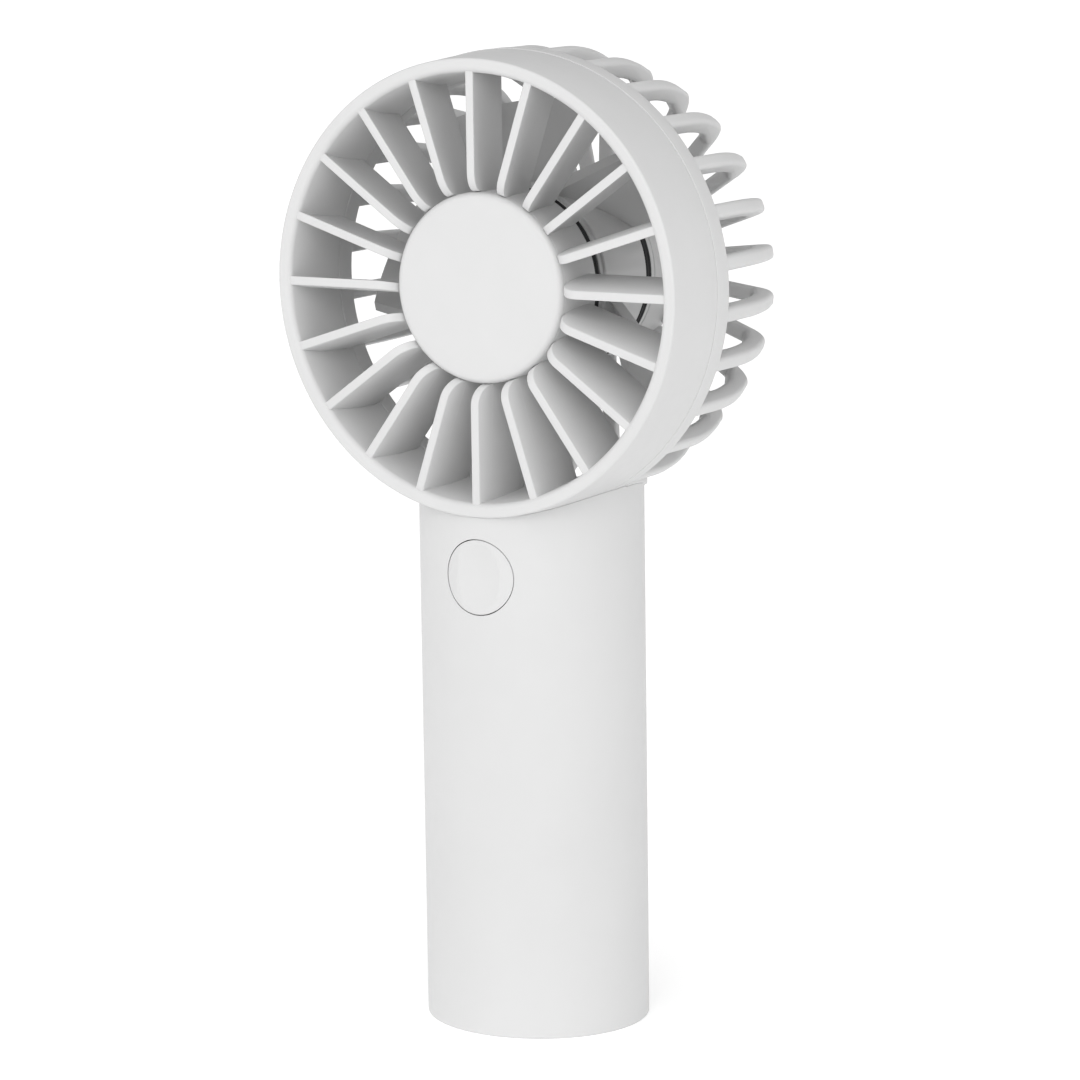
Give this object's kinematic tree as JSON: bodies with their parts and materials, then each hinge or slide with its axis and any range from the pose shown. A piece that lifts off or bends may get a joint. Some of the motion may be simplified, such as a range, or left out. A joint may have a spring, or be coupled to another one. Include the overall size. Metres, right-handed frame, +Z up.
{
  "type": "handheld electric fan",
  "caption": "Small battery fan on a straight oval handle: round head with fixed front vanes, a ribbed rear cage, a spinning impeller and a round push button.",
  "frame": {"origin": "centre of the handle's flat base, on the surface it stands on", "axes": "+Z up along the handle, the fan's axis along Y with the air leaving towards -Y, +X to the right when facing the back"},
  "size_m": [0.09, 0.0512, 0.1923],
  "materials": {
    "shell_white": "fine matt moulded plastic",
    "cap_white": "satin moulded plastic",
    "cage_white": "fine matt moulded plastic",
    "impeller_white": "satin moulded plastic",
    "seal_black": "soft black sealing ring",
    "handle_white": "fine matt moulded plastic",
    "base_white": "fine matt moulded plastic",
    "button_white": "satin moulded plastic",
    "guide_white": "plain moulded plastic",
    "frame_grey": "plain moulded plastic",
    "switch_black": "fine moulded plastic",
    "plunger_grey": "smooth moulded plastic",
    "board_green": "lacquered glass-fibre board",
    "chip_black": "moulded chip package",
    "lead_red": "soft wire insulation",
    "lead_black": "soft wire insulation",
    "foam_grey": "fine closed-cell foam",
    "cell_wrap": "glossy shrink wrap over the cell's can",
    "steel": "turned steel",
    "zinc_plate": "zinc-plated pressed steel",
    "nickel": "nickel-plated steel",
    "ferrite": "sintered magnet",
    "copper_wire": "enamelled copper wire",
    "bronze": "oil-filled sintered bronze",
    "brass": "turned brass"
  },
  "bodies": {
    "housing": {"front_grille": "shell_white", "hub_cap": "cap_white", "rear_cage": "cage_white", "stator_core": "zinc_plate", "stator_windings": "copper_wire", "motor_board": "board_green", "motor_bushes": "bronze", "bearing_tube": "brass", "motor_screws": "steel", "handle_shell": "handle_white", "base_cap": "base_white", "base_screws": "steel", "neck_plate": "zinc_plate", "neck_screws": "steel", "button_guide": "guide_white", "switch_body": "switch_black", "control_board": "board_green", "control_chips": "chip_black", "board_screws": "steel", "inner_frame": "frame_grey", "battery_cells": "cell_wrap", "battery_tabs": "nickel", "battery_leads": "lead_black", "cell_pad": "foam_grey", "charge_board": "board_green", "charge_chips": "chip_black", "charge_port": "nickel", "port_tongue": "switch_black", "motor_leads": "lead_red", "front_seal": "seal_black", "rear_seal": "seal_black"},
    "rotor": {"impeller": "impeller_white", "motor_shaft": "steel", "rotor_can": "zinc_plate", "magnet_ring": "ferrite", "shaft_clip": "steel"},
    "button": {"power_button": "button_white", "switch_plunger": "plunger_grey"}
  },
  "joints": [
    {"name": "impeller_spin", "type": "hinge", "parent": "housing", "child": "rotor", "pos_m": [0, 0, 0.1473], "axis": [0, 1, 0], "continuous": true},
    {"name": "button_press", "type": "slide", "parent": "housing", "child": "button", "axis": [0, 1, 0], "range_m": [0, 0.0004], "stiffness_N_per_m": 2000, "springref_m": -0.0003}
  ]
}
